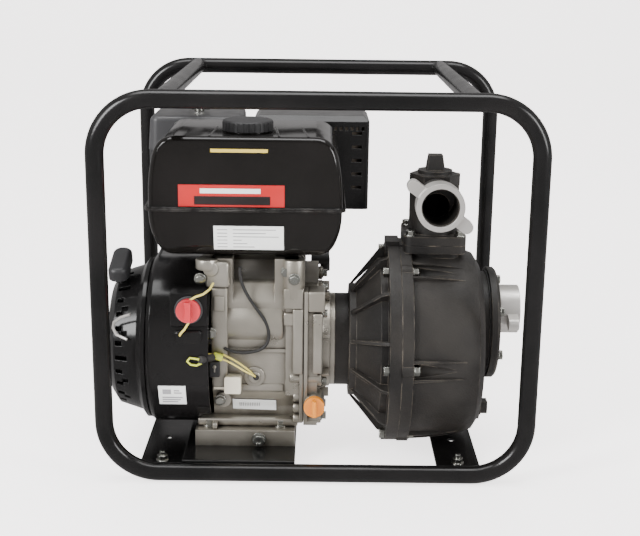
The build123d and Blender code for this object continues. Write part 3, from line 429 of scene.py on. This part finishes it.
# %% Raise the front of the crankcase
BARREL_Z = 0.205
BARREL_LIFT = 0.0015
BARREL_SQUASH = 0.68
barrel = turned_boss("crankcase_barrel", (-132, -96, 205), (-47, -96, 205), 78, cast_silver, soft=5, sides=96)
for corner in barrel.data.vertices:
    corner.co.z = BARREL_Z + BARREL_LIFT + (corner.co.z - BARREL_Z) * BARREL_SQUASH
cast_block("fan_pillar", (-150.5, -127), (-174, -150), (112, 262), cast_silver, 3)
cast_block("pillar_pad_upper", (-147, -131), (-176.5, -160), (228, 250), cast_silver, 2)
cast_block("joint_step_upper", (-47, -19), (-176, -150), (232, 262), cast_silver, 2.5)
cast_block("joint_step_middle", (-47, -24), (-175, -150), (207, 226), cast_silver, 2.5)
cast_block("joint_step_long", (-34, -19), (-176.5, -150), (134, 232), cast_silver, 2.5)
cast_block("joint_flange", (-24, -18.2), (-174, -150), (60, 262), cast_silver, 1.0)
cast_block("number_pad", (-140, -46), (-168.4, -150), (104, 116), cast_silver, 3)
cast_block("foot_ledge", (-172, -26), (-166, -140), (49.5, 61), cast_silver, 2.5)
cast_block("foot_web_left", (-150, -143), (-178, -140), (49, 58), cast_silver, 2)
turned_boss("sump_boss", (-89, -160, 127), (-89, -168.6, 127), 15, cast_silver)
turned_boss("lead_grommet", (-89, -167, 127), (-89, -171, 127), 9, cast_silver, soft=2)
turned_boss("grommet_rubber", (-86.5, -170.5, 127), (-86.5, -172.2, 127), 4.2, rubber, soft=0.8)
# height, where the boss starts, its radius, and the radius on the cover side (0: none there)
joint_bosses = ((126, -38, 8.6, 8.6), (97, -33, 7.5, 0), (80, -33, 7.5, 0), (63, -33, 7.5, 7))
for k, (z, start_x, radius, cover_radius) in enumerate(joint_bosses):
    turned_boss(f"joint_boss_{k}", (start_x, -165, z), (-18.4, -165, z), radius, cast_silver, soft=2)
    if cover_radius:
        turned_boss(f"cover_boss_{k}", (-17.6, -165, z), (8, -165, z), cover_radius, cast_cover, soft=2)
cast_block("cover_rib_front", (-5, 9), (-179, -150), (136, 226), cast_cover, 2.5)
cast_block("cover_flange_front", (-17.6, -12), (-176, -150), (60, 258), cast_cover, 1.0)
cast_block("cover_pad_upper", (-12, 12), (-177, -140), (228, 258), cast_cover, 2.5)
print("front of the crankcase raised")

# %% [markdown]
# ## Tank posts
# The tank stands on two cast posts at the front of the engine. Each is a
# round post with a web or a leaning brace that carries the load down into
# the wall, and hexagon bolts with washers show beside them.

# %% Tank posts and their bolts
turned_boss("tank_post_left", (-156, -165, 288), (-156, -165, 303), 16, cast_silver, soft=2)
turned_boss("tank_post_left_boss", (-150, -150, 290), (-150, -178, 290), 11, cast_silver, soft=2)
cast_block("tank_post_left_web", (-158, -124), (-176, -146), (262, 300), cast_silver, 5)
turned_boss("tank_post_right", (-33, -161, 246), (-33, -161, 303), 16, cast_silver, soft=2.5)
turned_boss("tank_post_right_lean", (-55, -150, 244), (-36, -158, 296), 12, cast_silver, soft=2.5)
for k, (x, y, z) in enumerate(((-165, -176, 276), (-32, -177, 277), (-151, -174, 195), (-139, -170, 92))):
    turned_boss(f"front_bolt_washer_{k}", (x, y, z), (x, y - 2, z), 8.5, zinc, soft=0.5)
    turned_boss(f"front_bolt_head_{k}", (x, y - 2, z), (x, y - 8, z), 6.6, zinc, soft=0.7, sides=6)
print("tank posts and front bolts made")

# %% [markdown]
# ## Control tab and switch collar
# The knob turns in a grey collar, and a black bracket below it carries the
# lead connectors.

# %% Switch collar and tab
turned_boss("switch_collar", (-179, -202.5, 238), (-179, -205.2, 238), 20, cleaner_moulding, soft=0.9)
cast_block("connector_bracket", (-154, -138.5), (-178, -167), (129, 153), moulding, 2)
turned_boss("bracket_keyhole", (-146, -177.5, 145), (-146, -178.4, 145), 2.6, cast_silver, soft=0.1)
cast_block("bracket_keyhole_slot", (-147, -145), (-178.4, -177.5), (137, 145), cast_silver, 0.1)
cast_block("switch_lower_box", (-200, -160), (-207, -180), (186, 208), paint_shroud, 5)
lead("switch_lead",
     ((-178, -207, 222), (-184, -210, 212), (-190, -209, 205), (-192, -205, 200)),
     1.6, yellow_wire)
lead("switch_lead_upper",
     ((-176, -208, 254), (-168, -209, 259), (-158, -207, 262), (-150, -196, 266), (-146, -182, 271)),
     1.6, yellow_wire)
turned_boss("green_sleeve", (-147, -181, 164), (-134, -181, 160), 5.2, green_plug, soft=1)
turned_boss("black_sleeve", (-163, -214, 168), (-147, -190, 164), 5.4, rubber, soft=1)
lead("green_loop",
     ((-161, -213, 163), (-168, -214, 160), (-176, -214, 161),
      (-181, -214, 166), (-177, -214, 171), (-164, -214, 169)),
     1.6, green_plug)
print("switch trim made")

# %% [markdown]
# ## Welds on the frame
# A crossbar meets its loop along a saddle curve. Walking round the bar and
# taking the depth of the loop's surface at each step gives that curve, and a
# slightly uneven bead along it reads as a weld.

# %% Lay the weld beads
TUBE = 12.5
LOOP_Y = 245.5
BAR_Z = 536.5


def saddle(x, side, first, last):
    """Points of the joint between a crossbar and a loop."""
    found = []
    for step in range(15):
        turn = math.radians(first + (last - first) * step / 14)
        out = math.sqrt(max(0.0, 1 - math.sin(turn) ** 2))
        found.append(Vector((x + (TUBE + 0.6) * math.cos(turn), side * (LOOP_Y - TUBE * out - 1.0),
                             BAR_Z + TUBE * math.sin(turn))) * MM)
    return found


for x in (-205.0, 205.0):
    for side in (-1, 1):
        for first, last in ((130, 230), (-50, 50)):
            bead(f"bar_weld_{int(x)}_{side}_{first}", saddle(x, side, first, last),
                 2.0, paint_frame, lumpy=0.18)
# where each plate starts and ends along the loop, its top, and how far forward the bead lies
for x0, x1, z, weld_y in ((-251, -189, 12, 233.6), (175, 237, 12, 233.6), (-188, -29, 25, 236.6)):
    for side in (-1, 1):
        track = [Vector((x0 + (x1 - x0) * k / 24, side * weld_y, z - 0.5)) * MM for k in range(25)]
        bead(f"plate_weld_{x0}_{side}", track, 2.4, paint_frame, lumpy=0.2)
print("welds laid")

# %% [markdown]
# ## Ribs on the pump casing
# Each casing bolt sits in a pointed recess, and a cast rib runs along both
# sides of it. The ribs are tall and thick at the flange and fade into the
# casing where the recess ends.

# %% Cast the casing ribs
CRANK = Vector((0.0, -85.0, 160.0))
FLANGE_SKIN, SKIN_DROP = 142.4, 3.0
SKIN_START, SKIN_LENGTH = 136.0, 76.0
# along the casing: x, distance from the bolt's line, height and half thickness
RIB_STATIONS = ((135.5, 14.0, 5.5, 2.2), (160.0, 13.5, 5.0, 1.7),
                (185.0, 13.0, 3.4, 1.2), (211.0, 12.5, 0.2, 0.8))


def on_casing(x, degrees, radius, aside):
    """Point on the casing at an angle round the crank axis, shifted sideways."""
    turn = math.radians(degrees)
    out = Vector((0.0, -math.cos(turn), math.sin(turn)))
    across = Vector((0.0, math.sin(turn), math.cos(turn)))
    return (CRANK + out * radius + across * aside + Vector((x, 0.0, 0.0))) * MM


for degrees in (0, 60, 120, 180, 240, 300):
    for side in (-1, 1):
        ring = []
        for x, aside, height, half in RIB_STATIONS:
            skin = FLANGE_SKIN - SKIN_DROP * (x - SKIN_START) / SKIN_LENGTH
            for away, high in ((half, -3.0), (half, height), (-half, height), (-half, -3.0)):
                ring.append(tuple(on_casing(x, degrees, skin + high, side * (aside + away))))
        walls = [(4 * i + j, 4 * i + j + 1, 4 * i + j + 5, 4 * i + j + 4) for i in range(3) for j in range(3)]
        walls += [(4 * i + 3, 4 * i, 4 * i + 4, 4 * i + 7) for i in range(3)]
        walls += [(0, 1, 2, 3), (15, 14, 13, 12)]
        rib = bpy.data.meshes.new("casing_rib")
        rib.from_pydata(ring, [], walls)
        shell = bmesh.new()
        shell.from_mesh(rib)
        bmesh.ops.recalc_face_normals(shell, faces=shell.faces[:])
        shell.to_mesh(rib)
        shell.free()
        piece(f"casing_rib_{degrees}_{side + 1}", rib, cast_pump)
print("casing ribs cast")

# %% [markdown]
# ## Plates and labels
# A plate glued to a curved tank follows the curve. A fine grid is thrown
# onto the surface with a Shrinkwrap modifier, then given thickness with
# Solidify. The plates carry plain bands and bars and no words.

# %% Wrap plates onto curved walls


def plain_finish(name, colour, second, rough=0.4):
    """Printed film: two close tones, fine grain."""
    return finish(name, colour, second, tuple(min(1.0, 1.2 * c) for c in colour), rough=(rough, rough + 0.12),
                  grain=300.0, bump=0.03, edge=0.1)


film_red = plain_finish("badge_red", (0.42, 0.006, 0.006), (0.50, 0.010, 0.010), 0.28)
film_black = plain_finish("badge_black", (0.012, 0.008, 0.008), (0.022, 0.014, 0.014), 0.28)
film_white = plain_finish("label_white", (0.70, 0.72, 0.70), (0.78, 0.80, 0.78), 0.45)
film_grey = plain_finish("label_bars", (0.22, 0.22, 0.23), (0.32, 0.32, 0.33), 0.45)
film_yellow = plain_finish("strip_yellow", (0.62, 0.46, 0.07), (0.70, 0.55, 0.12), 0.4)


def wrapped_plate(name, x, z, target, material, start_y=-260, lift=0.5, thick=0.5, tilt=0.0, step=2.0):
    """A thin plate over an x and z range in millimetres, laid on a wall from the front."""
    across = max(2, int((x[1] - x[0]) / step))
    up = max(2, int((z[1] - z[0]) / step))
    mesh = bpy.data.meshes.new(name)
    spots = [Vector((x[0] + (x[1] - x[0]) * i / across, start_y,
                     z[0] + (z[1] - z[0]) * j / up + tilt * (i / across - 0.5))) * MM
             for j in range(up + 1) for i in range(across + 1)]
    row = across + 1
    faces = [(j * row + i, j * row + i + 1, (j + 1) * row + i + 1, (j + 1) * row + i)
             for j in range(up) for i in range(across)]
    mesh.from_pydata([tuple(v) for v in spots], [], faces)
    made = piece(name, mesh, material)
    wrap = made.modifiers.new("wrap", "SHRINKWRAP")
    wrap.target = target
    wrap.wrap_method = "PROJECT"
    wrap.use_project_x, wrap.use_project_y, wrap.use_project_z = False, True, False
    wrap.use_positive_direction, wrap.use_negative_direction = True, False
    wrap.wrap_mode = "ABOVE_SURFACE"
    wrap.offset = lift * MM
    shell = made.modifiers.new("thickness", "SOLIDIFY")
    shell.thickness = thick * MM
    shell.offset = 0.0
    bpy.context.view_layer.update()
    ready = bpy.data.meshes.new_from_object(made.evaluated_get(bpy.context.evaluated_depsgraph_get()))
    made.modifiers.clear()
    made.data = ready
    shade_by_angle(ready)
    return made


upper, lower = nodes["tank_upper"], nodes["tank_lower"]
wrapped_plate("badge_plate", (-193, -46), (381, 412), upper, film_red)
wrapped_plate("badge_band", (-171, -66), (384, 396), upper, film_black, lift=0.9)
wrapped_plate("badge_stripe", (-163, -79), (400, 407), upper, film_white, lift=0.9)
wrapped_plate("filler_strip", (-148, -69), (457, 462), upper, film_yellow)
wrapped_plate("rating_label", (-145, -47), (318, 354), lower, film_white)
for k, line_length in enumerate((60, 46, 64, 12, 20, 30)):
    z = 349 - k * 5.2
    wrapped_plate(f"rating_bar_{k}", (-140, -126), (z - 1.0, z), lower, film_grey, lift=0.8, thick=0.3)
    wrapped_plate(f"rating_line_{k}", (-118, -118 + line_length), (z - 1.0, z), lower, film_grey,
                  lift=0.8, thick=0.3)
wrapped_plate("fan_label", (-224, -185), (93, 126), nodes["fan_shroud"], film_white)
fan_bars = (((-218, -206), (112, 120)), ((-202, -191), (113, 115)), ((-202, -194), (117, 119)),
            ((-219, -190), (105, 107)), ((-219, -193), (101, 103)), ((-219, -197), (97, 99)))
for k, (x, z) in enumerate(fan_bars):
    wrapped_plate(f"fan_label_bar_{k}", x, z, nodes["fan_shroud"], film_grey, lift=0.8, thick=0.3)
wrapped_plate("serial_label", (-122, -58), (69, 88), nodes["crankcase"], film_white, lift=1.2, tilt=-2)
for k in range(12):
    x = -112 + k * 2.6
    wrapped_plate(f"serial_bar_{k}", (x, x + 1.2), (75, 82), nodes["crankcase"], film_grey,
                  lift=1.5, thick=0.3, step=1.0)
print("plates wrapped")

# %% [markdown]
# ## Swage lines and the starter's wire
# Two pressed lines run down the tank on each side of the filler neck, and a
# small oval label sits on the shoulder. A bright bent wire clips to the
# starter cover between its slots.

# %% Tank lines and starter wire


def thrown(points, target, lift):
    """Points in millimetres dropped straight down onto a piece."""
    deps = bpy.context.evaluated_depsgraph_get()
    shape = target.evaluated_get(deps)
    landed = []
    for x, y in points:
        hit, spot, _, _ = shape.ray_cast(Vector((x, y, 530)) * MM, Vector((0, 0, -1)))
        if hit:
            landed.append(spot + Vector((0, 0, lift * MM)))
    return landed


for k, (x0, x1) in enumerate(((-146, -150), (-62, -54), (-24, -14))):
    run = [(x0 + (x1 - x0) * i / 24, -84 - 90 * i / 24) for i in range(25)]
    bead(f"tank_swage_{k}", thrown(run, upper, -0.6), 1.7, paint_gloss)
oval = [(-207 + 13 * math.cos(a), 8 + 7 * math.sin(a)) for a in (math.tau * k / 36 for k in range(36))]
rim = thrown(oval, upper, 0.3)
oval_mesh = bpy.data.meshes.new("tank_oval_label")
centre = sum(rim, Vector()) / len(rim)
oval_mesh.from_pydata([tuple(v) for v in rim] + [tuple(centre)], [],
                      [(k, (k + 1) % len(rim), len(rim)) for k in range(len(rim))])
piece("tank_oval_label", oval_mesh, film_white)
lead("starter_wire",
     ((-262, -195, 228), (-276, -190, 222), (-287, -184, 213),
      (-289, -183, 204), (-284, -186, 195), (-268, -193, 190)),
     2.0, coupling_metal)
print("swage lines, label and wire made")
